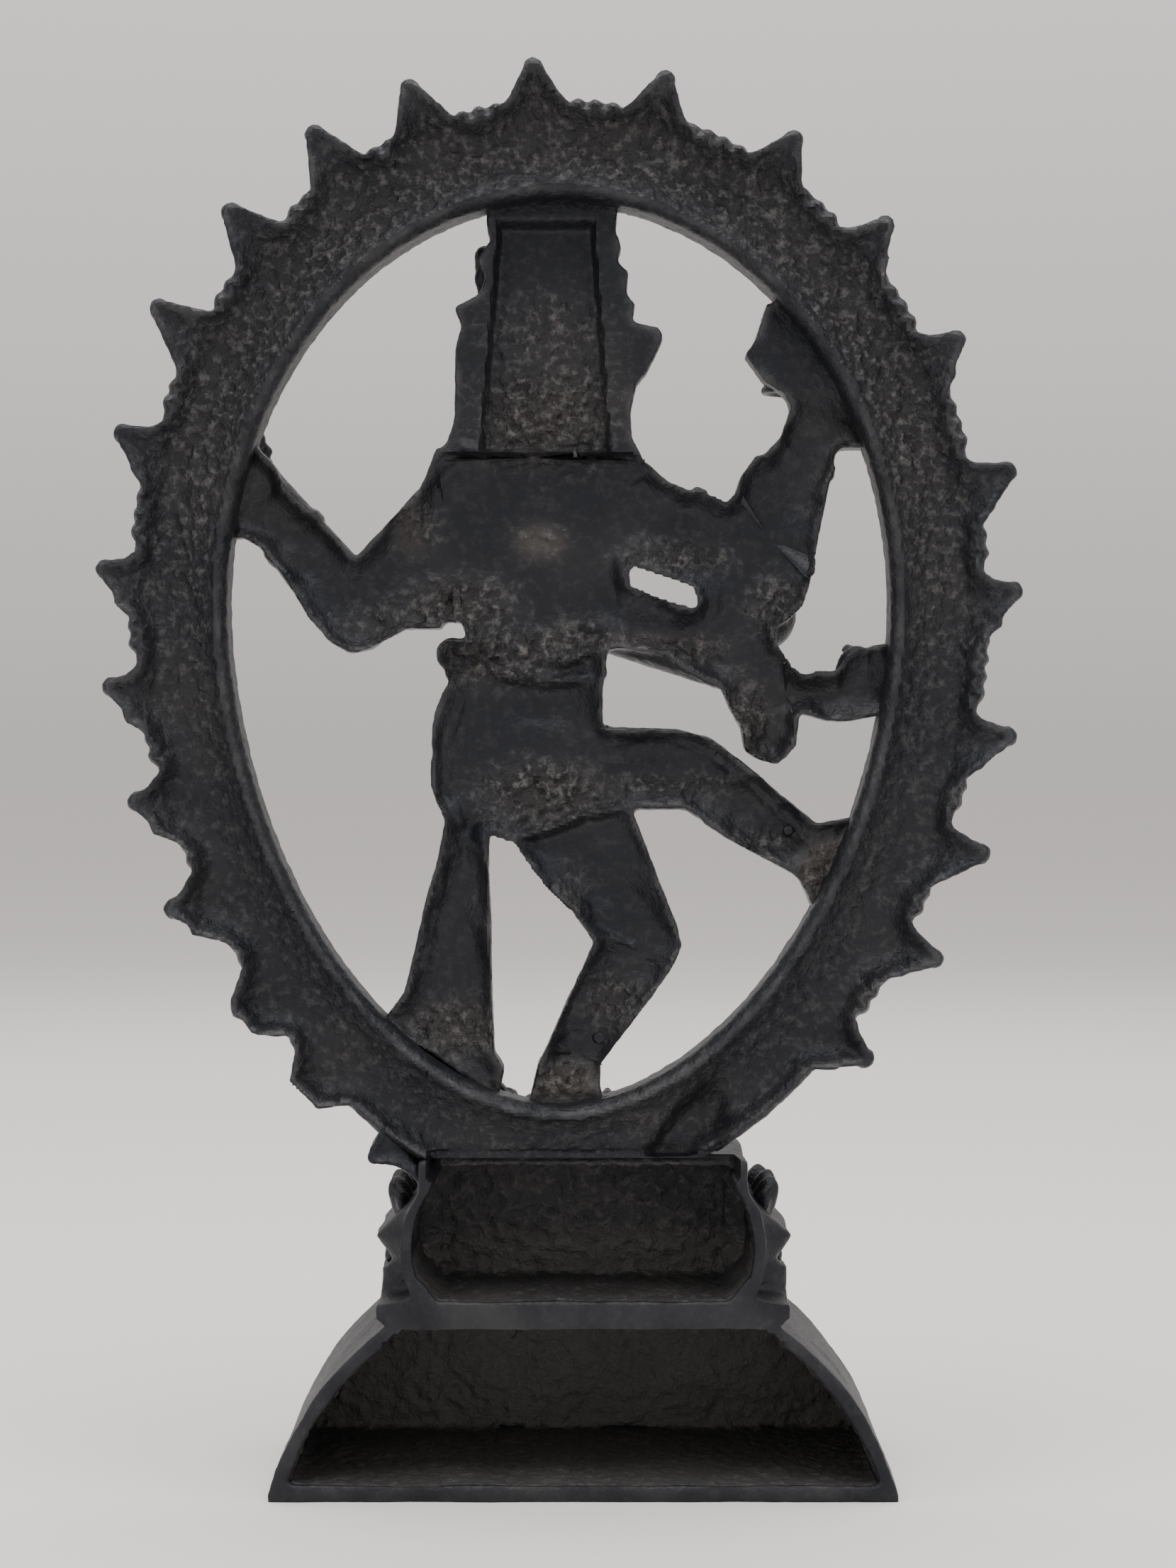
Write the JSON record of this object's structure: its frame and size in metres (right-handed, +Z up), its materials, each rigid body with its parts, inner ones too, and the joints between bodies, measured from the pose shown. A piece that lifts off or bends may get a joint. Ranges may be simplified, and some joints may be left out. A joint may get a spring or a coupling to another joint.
{
  "type": "nataraja statue",
  "caption": "Dancing figure with a raised leg inside an upright ring of flames, on a lotus pedestal and an arched base, in dark patinated cast brass with an open flat back.",
  "frame": {"origin": "middle of the base's underside", "axes": "+Z up through the ring, the figure faces -Y, the open flat back faces +Y"},
  "size_m": [0.1304, 0.038, 0.1991],
  "materials": {
    "ring_brass": "sand-cast brass, near-black patina, pitted channel, rubbed bright on the flame tips",
    "figure_brass": "sand-cast brass, near-black brown patina, rough back, satin raised edges",
    "base_brass": "sand-cast brass, near-black patina, smooth satin outside, dusty inside"
  },
  "bodies": {
    "root": {"anklets": "figure_brass", "base_shell": "base_brass", "blessing_arm": "figure_brass", "cobra": "figure_brass", "crossing_arm": "figure_brass", "crossing_hand": "figure_brass", "crown": "figure_brass", "drum": "figure_brass", "drum_forearm": "figure_brass", "drum_upper_arm": "figure_brass", "dwarf_body": "figure_brass", "dwarf_head": "figure_brass", "fire_bowl": "figure_brass", "fire_forearm": "figure_brass", "fire_upper_arm": "figure_brass", "flame_01": "ring_brass", "flame_02": "ring_brass", "flame_03": "ring_brass", "flame_04": "ring_brass", "flame_05": "ring_brass", "flame_06": "ring_brass", "flame_07": "ring_brass", "flame_08": "ring_brass", "flame_09": "ring_brass", "flame_10": "ring_brass", "flame_11": "ring_brass", "flame_12": "ring_brass", "flame_13": "ring_brass", "flame_14": "ring_brass", "flame_15": "ring_brass", "flame_16": "ring_brass", "flame_17": "ring_brass", "flame_18": "ring_brass", "flame_19": "ring_brass", "flame_20": "ring_brass", "flame_21": "ring_brass", "flame_22": "ring_brass", "flame_ring": "ring_brass", "hair_fan": "figure_brass", "hanging_sash": "figure_brass", "head": "figure_brass", "hip_cloth": "figure_brass", "lotus_petals": "base_brass", "lotus_seat": "base_brass", "necklace": "figure_brass", "pedestal_neck": "base_brass", "raised_foot": "figure_brass", "raised_shin": "figure_brass", "raised_thigh": "figure_brass", "ring_beads": "ring_brass", "ring_scroll": "ring_brass", "sash_knot": "figure_brass", "standing_foot": "figure_brass", "standing_shin": "figure_brass", "standing_thigh": "figure_brass", "step_plate": "base_brass", "torso": "figure_brass"}
  },
  "joints": []
}
